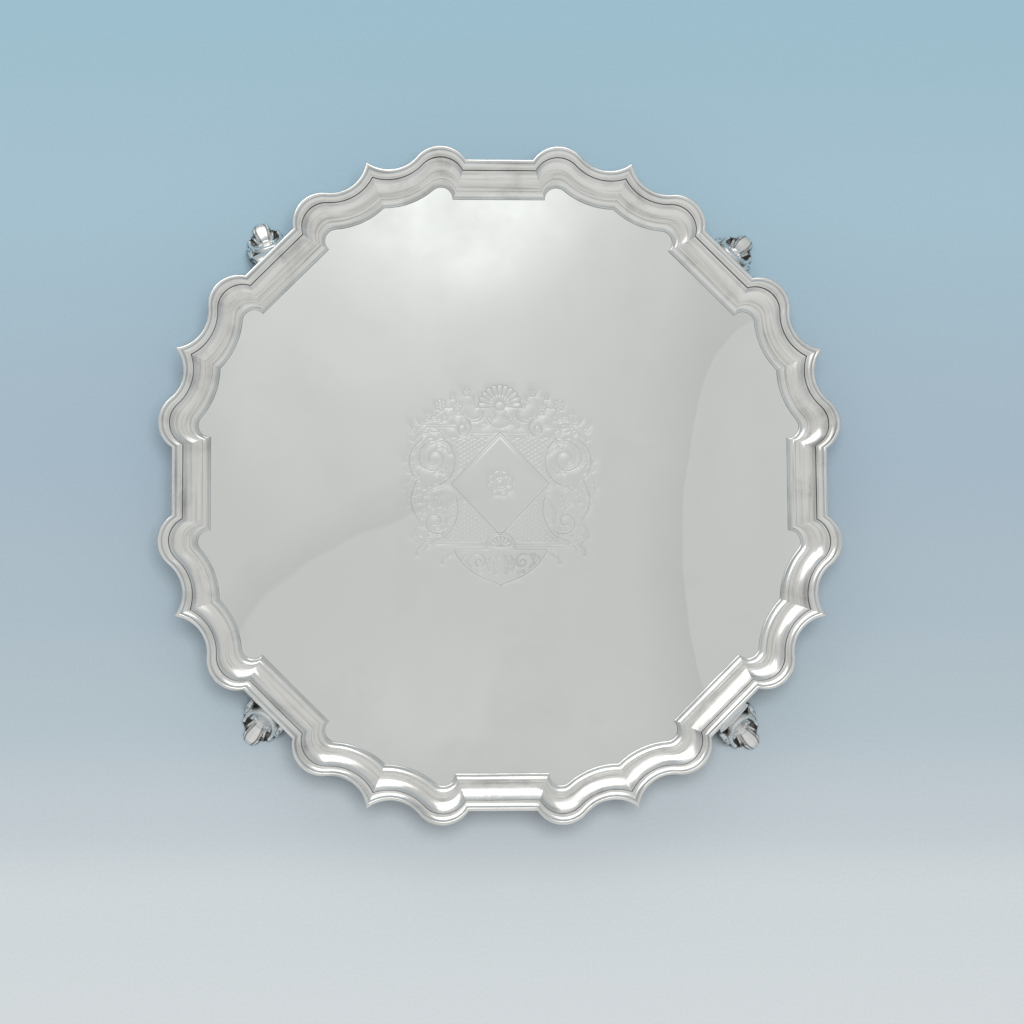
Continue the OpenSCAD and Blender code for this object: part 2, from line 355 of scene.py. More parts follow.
def silver(name, look):
    material, tree, shader = newMaterial(name)
    shader.inputs["Metallic"].default_value = 1.0
    place = tree.nodes.new("ShaderNodeTexCoord").outputs["Object"]
    recess = tree.nodes.new("ShaderNodeAttribute")
    recess.attribute_name = "recess"
    recess = recess.outputs["Fac"]
    scratch = placeGroup(tree, "hairScratches", Vector=place, Length_Scale=look["scratchScale"],
                         Cover=look["scratchCover"]).outputs[0]
    film = placeGroup(tree, "tarnishAndShade", Vector=place, Recess=recess, Cloud_Scale=look["cloudScale"],
                      Clouds=look["clouds"]).outputs[0]
    dull = film
    haze = noiseNode(tree, place, look["hazeScale"], 3.0, 0.6)
    rough = rangeNode(tree, haze, *finish["hazeNoise"], *look["gloss"])
    rough = plusNode(tree, rough, film, look["filmRough"])
    rough = plusNode(tree, rough, scratch, look["scratchRough"], True)
    tree.links.new(rough, shader.inputs["Roughness"])
    # scratches, the ripple left by the hammer or the file, and fine casting grain
    ripple = noiseNode(tree, place, look["rippleScale"], 1.5, 0.45)
    grain = noiseNode(tree, place, look["grainScale"], 2.0, 0.6)
    height = mathNode(tree, "MULTIPLY", ripple, look["rippleHeight"])
    height = plusNode(tree, height, grain, look["grainHeight"])
    height = mathNode(tree, "SUBTRACT", height, mathNode(tree, "MULTIPLY", scratch, look["scratchDepth"]))
    if "streaks" in look:
        run = tree.nodes.new("ShaderNodeUVMap")
        run.uv_map = "moulding"
        drawn = mappingNode(tree, run.outputs["UV"], (1, look["streakStretch"], 1))
        streak = noiseNode(tree, drawn, look["streakScale"], 2.0, 0.55)
        height = plusNode(tree, height, streak, look["streaks"])
        worn = rangeNode(tree, streak, *finish["streakNoise"], 0.0, look["streakDark"])
        dull = mathNode(tree, "ADD", film, worn, True)
    if "shadeOvals" in look:
        dull = plusNode(tree, dull, scratch, look["scratchDull"], True)
        # painted shade: the film round the ovals darkens the well's colour
        dull = mathNode(tree, "ADD", dull, paintedWellShade(tree, place, look), True)
    tree.links.new(mixNode(tree, dull, look["bright"], look["dark"]), shader.inputs["Base Color"])
    bump = tree.nodes.new("ShaderNodeBump")
    bump.inputs["Strength"].default_value = 1.0
    bump.inputs["Distance"].default_value = 1.0      # heights are in metres
    tree.links.new(height, bump.inputs["Height"])
    tree.links.new(bump.outputs["Normal"], shader.inputs["Normal"])
    return material


borderLook = {
    "bright": (0.90, 0.895, 0.87, 1), "dark": (0.15, 0.132, 0.115, 1),
    "gloss": (0.16, 0.26), "filmRough": 0.2,
    "scratchScale": 14.0, "scratchCover": 0.18, "scratchRough": 0.08, "scratchDepth": 0.000002,
    "cloudScale": 70.0, "clouds": 0.24, "hazeScale": 120.0,
    "rippleScale": 90.0, "rippleHeight": 0.00008, "grainScale": 1400.0, "grainHeight": 0.000002,
    "streaks": 0.00008, "streakStretch": 0.025, "streakScale": 1100.0, "streakDark": 0.28,
}
wellLook = {
    "bright": (0.885, 0.905, 0.885, 1), "dark": (0.30, 0.27, 0.24, 1),
    "gloss": (0.08, 0.13), "filmRough": 0.2,
    "scratchScale": 22.0, "scratchCover": 0.16, "scratchRough": 0.05, "scratchDepth": 0.0000008,
    "cloudScale": 35.0, "clouds": 0.05, "hazeScale": 30.0,
    "rippleScale": 9.0, "rippleHeight": 0.00022, "grainScale": 900.0, "grainHeight": 0.0000004,
    # the film, its fade and its rim: the painted shade round the ovals
    "scratchDull": 0.07, "film": 0.12, "shadeFade": 24, "shadeRim": (0.99, 1.01),
    "waver": 0.10, "waverScale": 30.0,
    # ovals in millimetres with painted shade round them: [middle, half widths, where the shade is gone, where
    # it is full]
    "shadeOvals": [(126, -28, 42, 108, 20, 70), (20, -130, 160, 125, 5, -45)],
}
footLook = {
    # the dark tone fills the foot's hollows: tarnish, with painted shade
    "bright": (0.87, 0.865, 0.845, 1), "dark": (0.05, 0.046, 0.045, 1),
    "gloss": (0.16, 0.26), "filmRough": 0.3,
    "scratchScale": 30.0, "scratchCover": 0.15, "scratchRough": 0.08, "scratchDepth": 0.000002,
    "cloudScale": 150.0, "clouds": 0.12, "hazeScale": 200.0,
    "rippleScale": 160.0, "rippleHeight": 0.00004, "grainScale": 1500.0, "grainHeight": 0.000003,
}
solderLook = {
    "bright": (0.78, 0.765, 0.72, 1), "dark": (0.14, 0.125, 0.11, 1),
    "gloss": (0.26, 0.40), "filmRough": 0.2,
    "scratchScale": 40.0, "scratchCover": 0.10, "scratchRough": 0.05, "scratchDepth": 0.000001,
    "cloudScale": 220.0, "clouds": 0.35, "hazeScale": 260.0,
    "rippleScale": 300.0, "rippleHeight": 0.00006, "grainScale": 1800.0, "grainHeight": 0.000004,
}
borderSilver = silver("castBorderSilver", borderLook)
wellSilver = silver("sheetSilver", wellLook)
footSilver = silver("castFootSilver", footLook)
solderSilver = silver("solderedSeam", solderLook)
print("silver finishes made")


# ---- the border: eight castings, each swept along one side between two mitres

moulding = {
    # runs of [inset, height above the plate] in millimetres, each smooth in itself
    "face": [
        [(0.22, 7.35), (0.0, 7.75), (0.1, 8.22), (0.5, 8.52), (1.0, 8.6), (1.5, 8.45), (1.86, 8.05)],
        [(1.86, 8.05), (2.5, 7.5), (3.4, 7.12), (4.2, 6.95), (4.62, 6.92)],
        [(4.62, 6.92), (4.8, 6.86), (4.88, 6.6), (4.93, 6.0)],
        [(4.93, 6.0), (5.02, 5.75), (5.12, 5.95)],
        [(5.12, 5.95), (6.4, 5.05), (8.0, 4.1), (9.8, 3.38), (11.6, 2.98), (13.0, 2.84), (13.7, 2.82)],
        [(13.7, 2.82), (13.86, 2.7), (13.92, 2.35)],
        [(13.92, 2.35), (14.6, 2.28), (15.4, 2.02), (16.2, 1.52), (16.8, 0.96), (17.1, 0.5)],
        [(17.1, 0.5), (17.4, 0.36), (17.55, 0.24), (17.6, -0.3)],
    ],
    "faceSteps": 4,
    "under": [(17.6, -0.3), (14.2, -0.3), (13.2, 0.7), (8.8, 2.0), (6.0, 3.3), (4.1, 5.0), (3.6, 5.6),
              (1.05, 6.2), (0.25, 6.8), (0.22, 7.35)],
    "recessAt": [(1.9, 0.35, 0.45), (4.97, 0.24, 0.9), (6.3, 1.7, 0.42), (3.9, 0.8, 0.3), (12.2, 1.3, 0.2),
                 (13.93, 0.24, 0.5), (17.55, 0.25, 0.9)],
    "wobble": 0.10,      # how far the hand-filed casting strays, in millimetres
    "wobbleLength": 22, "wobbleSeed": 7.3,
    "stillBelow": 0.1,   # the part lower than this fits the plate, and doesn't stray
    "seamGap": 0.03,     # half the width of the filed groove at a mitre, in millimetres
    "seamStations": (0.07, 0.22),
    "seamDark": 0.7,
    "creaseDegrees": 24,
}


def mouldingSection():
    out = []
    for run in moulding["face"]:
        points = smoothCurve(run, moulding["faceSteps"])
        out.extend(points if not out else points[1:])
    out.extend(moulding["under"][1:-1])
    return out


def recessAt(inset, height):
    # dirt lies in the fine grooves of the moulding
    if height < 0:
        return 0.0
    dark = 0.0
    for place, spread, strength in moulding["recessAt"]:
        dark = max(dark, strength * math.exp(-((inset - place) / spread) ** 2))
    return dark


def strayed(point):
    # a slow wander of the surface, the same at both sides of a mitre
    seed = moulding["wobbleSeed"]
    at = Vector((point[0], point[1], point[2] * 3)) / (moulding["wobbleLength"] * mm)
    amount = moulding["wobble"] * mm
    return Vector((noise.noise(at + Vector((seed, 0, 0))), noise.noise(at + Vector((0, seed, 0))),
                   0.5 * noise.noise(at + Vector((0, 0, seed))))) * amount


def nearMitres(line):
    # two more stations close to each end, so that the filed seam stays narrow
    first = [line[0].lerp(line[1], share) for share in moulding["seamStations"]]
    last = [line[-1].lerp(line[-2], share) for share in moulding["seamStations"]]
    return [line[0]] + first + line[1:-1] + last[::-1] + [line[-1]]


def makeBorder():
    section = mouldingSection()
    lines = [nearMitres(sideLine(p[0] * mm)) for p in section]
    count = len(section)
    stations = len(lines[0])
    for index in range(1, 9):
        turn = Matrix.Rotation(sectorAngle * (index - 1) - quarterTurn, 3, "Z")
        points = []
        for k in range(stations):
            for j in range(count):
                flat = lines[j][k]
                if k in (0, stations - 1):
                    flat = flat * (1 - moulding["seamGap"] * mm / flat.length)
                at = turn @ Vector((flat.x, flat.y, plateTop + section[j][1] * mm))
                if section[j][1] >= moulding["stillBelow"]:
                    at = at + strayed(at)
                points.append(at)
        faces = []
        for k in range(stations - 1):
            for j in range(count):
                n = (j + 1) % count
                faces.append((k * count + j, k * count + n, (k + 1) * count + n, (k + 1) * count + j))
        faces.append(tuple(range(count - 1, -1, -1)))
        faces.append(tuple((stations - 1) * count + j for j in range(count)))
        mesh = newMesh("borderCasting%d" % index, points, faces)
        recess = mesh.attributes.new("recess", "FLOAT", "POINT")
        run = mesh.uv_layers.new(name="moulding")
        along = [0.0]
        for k in range(1, stations):
            along.append(along[-1] + (lines[0][k] - lines[0][k - 1]).length)
        for k in range(stations):
            seam = moulding["seamDark"] if k in (0, stations - 1) else 0.0
            for j in range(count):
                recess.data[k * count + j].value = max(seam, recessAt(*section[j]))
        for loop in mesh.loops:
            k, j = divmod(loop.vertex_index, count)
            run.data[loop.index].uv = (section[j][0] * mm + section[j][1] * mm, along[k] + index)
        smoothExceptCreases(mesh, moulding["creaseDegrees"])
        addPiece("border_casting_%d" % index, mesh, borderSilver,
                 ["border_section_%d" % index])
    print("border castings made:", stations, "by", count)


makeBorder()

# ---- the plate: a hammered sheet with an engraved cartouche cut into it

engraving = {
    # millimetres from the plate's centre, right half first and then mirrored
    "broad": 0.74, "line": 0.58, "fine": 0.42,   # widths of cut
    "slope": 0.050,                               # depth of a cut for its half width
    "blackening": 0.62,                           # how dark the bottom of the broadest cut is
    "shield": (22.6, 24.0),                       # half width and half height of the blank lozenge
    # the lattice between the lozenge and the scrolls
    "diaper": (1.75, 32), "diaperStep": 0.3, "diaperReach": 45.0,     # spacing and angle of its lines
    "groundMargin": 1.055, "groundSide": 27.0, "groundBottom": -27.2, "groundTop": 21.4,
    "groundHoles": ((30.5, 11.5, 11.0), (30.0, -17.5, 7.6), (17.2, 25.6, 5.2), (0, -29.4, 7.4)),
    "waist": 21.5, "waistAt": -3.0, "waistFlare": 0.02,
    # [middle, first and last radius, first and last angle, steps, width of the band]
    "sideScrolls": [
        (30.5, 11.5, 10.2, 2.2, 150, -420, 46, 1.5), (30.0, -17.5, 7.0, 1.6, 215, 640, 34, 1.2),
        (17.2, 25.6, 4.6, 1.2, 120, 560, 26, 0.9)],
    # [half width, lobes on each side, knots of the midrib]
    "sideLeaves": [
        (2.1, 4, [(25.5, 21.5), (30, 25.6), (35.5, 25.2), (38.8, 21.5)]),
        (1.9, 4, [(39.8, 17.5), (42.2, 12), (41.6, 6.5), (38.4, 2.6)]),
        (2.0, 4, [(36.5, 0.8), (40.2, -3.2), (41.2, -9), (38.8, -14)]),
        (1.5, 3, [(31.5, -2.0), (35.4, -4.6), (36.8, -9)]),
        (1.7, 4, [(37.6, -17), (39.2, -22), (36.4, -26.5), (31.5, -27)]),
        (1.3, 3, [(21.8, 6.5), (25.4, 0.6), (31.4, -1.4)])],
    "smallLeaves": [
        (1.5, 4, [(24.6, 22.4), (27.4, 19.4), (32.8, 19.6), (35.8, 16.2)]),
        (1.4, 3, [(33.6, 23.4), (37.4, 23.6), (40.6, 19.8)]),
        (1.3, 3, [(42.4, 3.2), (43.6, -2), (42.2, -7)]),
        (1.3, 3, [(27.4, -4.2), (29.4, -7.6), (28, -10.8)]),
        (1.4, 3, [(34.4, -12), (37.2, -15.2), (36.4, -20)]),
        (1.3, 3, [(24.4, -26), (28.6, -23), (33.8, -24.2)]),
        (1.1, 3, [(11.6, 20.8), (14.6, 22.6), (19.4, 21.2)]),
        (1.2, 3, [(23.2, -9), (25.6, -13.6), (24.4, -18)]),
        (1.2, 3, [(39.4, -20.4), (40.6, -24.4), (37.6, -27.4)]),
        (1.1, 3, [(22.6, 13.6), (25.6, 16.6), (29.2, 16.4)]),
        (1.1, 3, [(23.6, 8.6), (26.4, 5.2), (30.2, 5.4)]),
        (1.1, 3, [(34.6, 7.4), (37.6, 9.6), (37.8, 13.6)]),
        (1.1, 3, [(24.2, -15.4), (26.2, -20.2), (30.4, -21.4)]),
        (1.0, 3, [(33.4, -9.2), (30.6, -10.6), (28.6, -13.8)]),
        (1.2, 3, [(37.2, 22.4), (40.2, 24.6), (41.4, 27.6)]),
        (1.1, 3, [(26.6, 28.6), (30.6, 30.2), (34.8, 28.8)]),
        (1.1, 3, [(14.2, 27.4), (16.4, 31.2), (20.6, 32.6)]),
        (1.1, 3, [(35.4, -27.8), (38.6, -30.2), (38.8, -33.4)]),
        (1.0, 3, [(13.8, -33.2), (15.6, -36.2), (13.4, -38.8)]),
        (1.0, 3, [(4.6, -33.4), (6.2, -36.8), (5.2, -40.6)])],
    "bowlLeaves": [
        (1.7, 4, [(1.4, -32.6), (3.6, -37), (2.4, -42)]),
        (1.1, 3, [(14.2, -32.4), (17.2, -33.6), (18.2, -35.6)]),
        (1.2, 3, [(7.6, -41.2), (12.6, -40), (15.6, -36.4)]),
        (1.2, 3, [(22.5, -32.2), (26, -34), (27.4, -37.2)])],
    # [gaps of the parallel cuts, knots of the first]
    "ribbons": [
        ((0, -1.0, -1.9), [(26.5, 21.6), (22.6, 17), (20.9, 10.5), (22.4, 4.2), (26.6, 0.2), (32, -1.4)]),
        ((0, -1.1, -2.0), [(20.4, -6.5), (19.6, -13), (21.6, -19.4), (25.8, -24.6), (31.5, -26.6)]),
        ((0, 0.9), [(38.6, 1.4), (40.9, -4), (41, -10.5), (37.8, -17)]),
        ((0, 0.9), [(36.2, 20.6), (40.4, 16.4), (42, 10.4), (40.2, 3.8)])],
    # [height, where it starts and stops] of the level mouldings
    "bars": [
        (27.4, 21.8, 37), (26.3, 22.2, 36.4), (23.4, 2.6, 12.4), (22.3, 3.4, 12.2),
        (-28.1, 7.2, 33.5), (-29.2, 7.4, 34), (-30.4, 7.0, 21)],
    # [middle, radius, petals]
    "flowers": [
        (15.2, 42.4, 1.9, 5), (19.6, 35.4, 2.2, 5), (27.6, 36.4, 2.7, 6), (25.6, 30.6, 1.5, 5),
        (33.0, 31.4, 1.7, 5), (21.8, 40.4, 1.3, 5)],
    "stalks": [
        [(13.4, 30.4), (17.2, 32), (19, 33.4)], [(21.4, 35.6), (24, 35), (25.2, 35.4)],
        [(13, 40), (14, 40.8)], [(27.4, 33.4), (30, 31.4), (31.6, 31)],
        [(19.9, 37.6), (20.6, 39), (21.2, 39.6)]],
}
cuts = []    # [points, width] of every cut


def cut(points, width, mirror=True):
    cuts.append((points, width))
    if mirror:
        cuts.append(([(-x, y) for x, y in points], width))


def onCircle(cx, cy, r, degrees):
    a = math.radians(degrees)
    return cx + r * math.cos(a), cy + r * math.sin(a)


def arcPoints(cx, cy, r0, r1, a0, a1, steps):
    # an arc or spiral, angles in degrees, the radius easing from r0 to r1
    out = []
    for k in range(steps + 1):
        t = k / steps
        out.append(onCircle(cx, cy, r0 * (r1 / r0) ** t, a0 + (a1 - a0) * t))
    return out


def besidePath(points, gap):
    # the same path, moved sideways
    out = []
    for k, p in enumerate(points):
        a = points[max(k - 1, 0)]
        b = points[min(k + 1, len(points) - 1)]
        dx, dy = b[0] - a[0], b[1] - a[1]
        size = math.hypot(dx, dy) or 1
        out.append((p[0] - dy / size * gap, p[1] + dx / size * gap))
    return out


def ribbon(knots, gaps):
    # parallel cuts along one curve
    path = smoothCurve(knots, 5)
    for k, gap in enumerate(gaps):
        cut(besidePath(path, gap), engraving["broad" if k == 0 else "fine"])


def scroll(cx, cy, r0, r1, a0, a1, steps, band):
    # parallel cuts that wind up to an eye, shaded across between them
    outer = arcPoints(cx, cy, r0, r1, a0, a1, steps)
    inner = arcPoints(cx, cy, r0 - band, max(r1 - band * 0.4, 0.3), a0, a1, steps)
    cut(outer, engraving["broad"])
    cut(inner, engraving["fine"])
    middle = arcPoints(cx, cy, r0 - band * 0.55, r1, a0, a0 + (a1 - a0) * 0.55, steps // 2)
    cut(middle, engraving["fine"])
    for k in range(2, int(steps * 0.62), 2):
        a, b = outer[k], inner[min(k + 1, steps)]
        cut([a, ((a[0] * 0.3 + b[0] * 0.7), (a[1] * 0.3 + b[1] * 0.7))], engraving["fine"] * 0.8)


def leaf(knots, width, ribs):
    # a curling leaf: a midrib with lobed edges on both sides
    spine = smoothCurve(knots, 5)
    cut(spine, engraving["line"])
    last = len(spine) - 1
    for side in (-1, 1):
        for r in range(ribs):
            k0 = int(last * r / ribs)
            k1 = min(int(last * (r + 1) / ribs), last)
            mid = (k0 + k1) // 2
            swell = side * width * math.sin(math.pi * (0.12 + 0.8 * (r + 0.5) / ribs))
            lobe = [spine[k0], besidePath(spine, swell)[mid], besidePath(spine, swell * 0.82)[k1],
                    besidePath(spine, swell * 0.25)[k1]]
            cut(smoothCurve(lobe, 3), engraving["fine"] * 1.1)
            cut([spine[mid], besidePath(spine, swell * 0.6)[k1]], engraving["fine"] * 0.8)


def flower(cx, cy, r, petals, mirror=True):
    cut(arcPoints(cx, cy, r * 0.28, r * 0.28, 0, 350, 7), engraving["fine"], mirror)
    for k in range(petals):
        a = 360 * k / petals + 18
        petal = arcPoints(*onCircle(cx, cy, r * 0.62, a), r * 0.38, r * 0.38, a - 125, a + 125, 6)
        cut(petal, engraving["line"], mirror)


def shellFan(cx, cy, r0, r1, a0, a1, ribs):
    for k in range(ribs + 1):
        a = a0 + (a1 - a0) * k / ribs
        cut([onCircle(cx, cy, r0, a), onCircle(cx, cy, r1, a)], engraving["line"], False)
    step = (a1 - a0) / ribs
    for k in range(ribs):
        a = a0 + step * (k + 0.5)
        size = r1 * math.radians(step) / 2
        cut(arcPoints(*onCircle(cx, cy, r1, a), size, size, a - 95, a + 95, 6), engraving["broad"], False)


def drawCartouche():
    halfW, halfH = engraving["shield"]
    for share, width in ((1.0, "broad"), (0.93, "fine")):
        w, h = halfW * share, halfH * share
        cut([(0, h), (w, 0)], engraving[width])
        cut([(0, -h), (w, 0)], engraving[width])
    # a plain rosette in the blank field
    flower(0, 0, 6.2, 8, False)
    cut(arcPoints(0, 0, 2.9, 2.9, 0, 352, 16), engraving["fine"], False)
    # scrolls and leaves at the sides
    for winding in engraving["sideScrolls"]:
        scroll(*winding)
    for width, lobes, knots in engraving["sideLeaves"]:
        leaf(knots, width, lobes)
    for gaps, knots in engraving["ribbons"]:
        ribbon(knots, gaps)
    for width, lobes, knots in engraving["smallLeaves"]:
        leaf(knots, width, lobes)
    # mouldings above and below, with their turned ends
    for y, x0, x1 in engraving["bars"]:
        cut([(x0, y), (x1, y)], engraving["line"])
    cut([(37, 27.4), (38.2, 29.2)], engraving["line"])
    cut([(33.5, -28.1), (35.2, -30.6)], engraving["line"])
    # the shell below, in its arch
    for r, width in ((6.8, "broad"), (5.8, "line")):
        cut(arcPoints(0, -29.4, r, r, 0, 180, 18), engraving[width], False)
    shellFan(0, -29.6, 1.3, 4.2, 12, 168, 6)
    # the bowl of leaves under the bars
    rim = smoothCurve([(21.5, -31.2), (17.2, -37.4), (10.4, -42.6), (3.2, -45.6), (0.6, -46.8)], 5)
    cut(rim, engraving["broad"])
    cut(besidePath(rim, -1.1), engraving["fine"])
    scroll(10.0, -36.4, 4.4, 1.0, 60, 500, 24, 0.9)
    for width, lobes, knots in engraving["bowlLeaves"]:
        leaf(knots, width, lobes)
    # the crest: a scalloped shell over two curved stems
    shellFan(0, 36.2, 2.4, 8.8, -6, 186, 11)
    cut(arcPoints(0, 36.2, 5.4, 5.4, -4, 184, 22), engraving["fine"], False)
    cut(arcPoints(0, 36.2, 2.2, 2.2, 0, 352, 12), engraving["line"], False)
    neck = smoothCurve([(8.4, 34.2), (7.8, 31.4), (9.8, 29.2), (13.4, 28.6)], 5)
    cut(neck, engraving["broad"])
    cut(besidePath(neck, 1.1), engraving["fine"])
    leaf([(2.2, 31.8), (5.4, 28.8), (9.0, 26.0)], 1.4, 3)
    cut(smoothCurve([(0, 25.6), (3.6, 27.2), (6.2, 30.6)], 4), engraving["line"])
    leaf([(10.4, 35.4), (12.2, 38), (12.2, 41)], 1.2, 3)
    # sprays of flowers at the upper corners
    for bloom in engraving["flowers"]:
        flower(*bloom)
    for knots in engraving["stalks"]:
        cut(smoothCurve(knots, 3), engraving["fine"])
    drawDiaper()


def onGround(x, y):
    # between the lozenge and the scrolls, where the lattice goes
    halfW, halfH = engraving["shield"]
    if abs(x) / halfW + abs(y) / halfH < engraving["groundMargin"]:
        return False
    if y > engraving["groundTop"] or y < engraving["groundBottom"] or abs(x) > engraving["groundSide"]:
        return False
    for cx, cy, r in engraving["groundHoles"]:
        if math.hypot(abs(x) - cx, y - cy) < r:
            return False
    # the leaf between the scrolls
    return abs(x) < engraving["waist"] + engraving["waistFlare"] * (y - engraving["waistAt"]) ** 2


def drawDiaper():
    # a lattice of fine cuts on the ground, on both sides of the lozenge
    spacing, degrees = engraving["diaper"]
    step = engraving["diaperStep"]
    rows = int(engraving["diaperReach"] / spacing)
    reach = int(engraving["diaperReach"] / step)
    for tilt in (degrees, -degrees):
        along = Vector(onCircle(0, 0, 1, tilt))
        across = Vector((-along.y, along.x))
        for row in range(-rows, rows + 1):
            run = []
            for k in range(-reach, reach):
                spot = across * row * spacing + along * k * step
                if spot.x > 0 and onGround(spot.x, spot.y):
                    run.append(tuple(spot))
                    continue
                if len(run) > 3:
                    cut([run[0], run[-1]], engraving["fine"])
                run = []


plate = {
    "rebate": 0.3,           # millimetres, under the border's flange
    "rebateGap": 0.05,
    "gridStep": 4.0, "gridReach": 127.0,
    "mergeWithin": 0.01, "mergeUnder": 1e-7,     # millimetres above, metres below
    "flatFrom": 133.0, "flatOver": 12.0,     # the waves die out before the border
    "sag": [(70, 0.16), (30, 0.035)],    # [length, height] of the sheet's slow waves, in millimetres
    "creaseDegrees": 5,
}


def sheetWave(x, y):
    # the sheet isn't quite flat, as hammering leaves it
    rise = 0
    for length, height in plate["sag"]:
        rise += height * noise.noise(Vector((x / length + 3.1, y / length - 1.7, 0.4)))
    return rise


def cutDepths(points):
    # how deep each point lies, from the cuts that pass near it
    cell = 1.0
    table = {}
    for line, width in cuts:
        half = width / 2
        for k in range(len(line) - 1):
            a, b = line[k], line[k + 1]
            for cx in range(int(math.floor((min(a[0], b[0]) - half) / cell)),
                            int(math.floor((max(a[0], b[0]) + half) / cell)) + 1):
                for cy in range(int(math.floor((min(a[1], b[1]) - half) / cell)),
                                int(math.floor((max(a[1], b[1]) + half) / cell)) + 1):
                    table.setdefault((cx, cy), []).append((a, b, half))
    out = []
    for x, y in points:
        deep = 0.0
        for a, b, half in table.get((int(math.floor(x / cell)), int(math.floor(y / cell))), ()):
            dx, dy = b[0] - a[0], b[1] - a[1]
            t = ((x - a[0]) * dx + (y - a[1]) * dy) / (dx * dx + dy * dy + 1e-12)
            t = min(max(t, 0), 1)
            away = math.hypot(x - a[0] - t * dx, y - a[1] - t * dy)
            deep = max(deep, (half - away) * engraving["slope"])
        out.append(deep)
    return out


def makePlate():
    drawCartouche()
    wellLine = wholeLine((moulding["face"][-1][-1][0] + plate["rebateGap"]) * mm)
    points = [p / mm for p in wellLine]
    count = len(points)
    edges = [(k, (k + 1) % count) for k in range(count)]
    for line, width in cuts:
        half = width / 2
        for side in (-half, 0, half):
            path = besidePath(line, side) if side else line
            first = len(points)
            points.extend(Vector(p) for p in path)
            edges.extend((first + k, first + k + 1) for k in range(len(path) - 1))
    steps = int(plate["gridReach"] / plate["gridStep"])
    for i in range(-steps, steps + 1):
        for k in range(-steps, steps + 1):
            x, y = i * plate["gridStep"], k * plate["gridStep"]
            if math.hypot(x, y) < plate["gridReach"]:
                points.append(Vector((x, y)))
    done = delaunay_2d_cdt(points, edges, [list(range(count))], 1, plate["mergeWithin"])
    flat, faces = done[0], done[2]
    print("engraving laid out:", len(cuts), "cuts,", len(flat), "points,", len(faces), "faces")
    depths = cutDepths([(p.x, p.y) for p in flat])
    edgeIndex = {}
    for k, origin in enumerate(done[3]):
        for o in origin:
            if o < count:
                edgeIndex[o] = k
    solid = []
    for p, deep in zip(flat, depths):
        fade = min(1.0, max(0.0, (plate["flatFrom"] - p.length) / plate["flatOver"]))
        solid.append((p.x * mm, p.y * mm, plateTop + (sheetWave(p.x, p.y) * fade - deep) * mm))
    for o in range(count):
        solid[edgeIndex[o]] = (*solid[edgeIndex[o]][:2], plateTop)
    faces = [tuple(f) for f in faces]
    under = wholeLine(moulding["under"][1][0] * mm)
    rings = [[edgeIndex[o] for o in range(count)]]
    rebateTop = plateTop - plate["rebate"] * mm
    for line, z in ((wellLine, rebateTop), (under, rebateTop), (under, plateUnder)):
        rings.append(list(range(len(solid), len(solid) + count)))
        solid.extend((p.x, p.y, z) for p in line)
    for upper, lower in zip(rings, rings[1:]):
        for k in range(count):
            n = (k + 1) % count
            faces.append((upper[k], lower[k], lower[n], upper[n]))
    bottom = delaunay_2d_cdt([Vector((p.x, p.y)) for p in under],
                             [(k, (k + 1) % count) for k in range(count)], [], 1, plate["mergeUnder"])
    last = rings[-1]
    faces.extend(tuple(last[bottom[3][v][0]] for v in f) for f in bottom[2])
    mesh = newMesh("engravedPlate", solid, faces)
    recess = mesh.attributes.new("recess", "FLOAT", "POINT")
    deepest = engraving["broad"] / 2 * engraving["slope"]
    for k, deep in enumerate(depths):
        recess.data[k].value = engraving["blackening"] * min(1.0, deep / deepest)
    smoothExceptCreases(mesh, plate["creaseDegrees"])
    addPiece("engraved_plate", mesh, wellSilver, ["tray_plate"])
    print("plate made:", len(mesh.polygons), "faces")


makePlate()

# ---- the feet: cast scrolls with a shell at the toe, all from one pattern

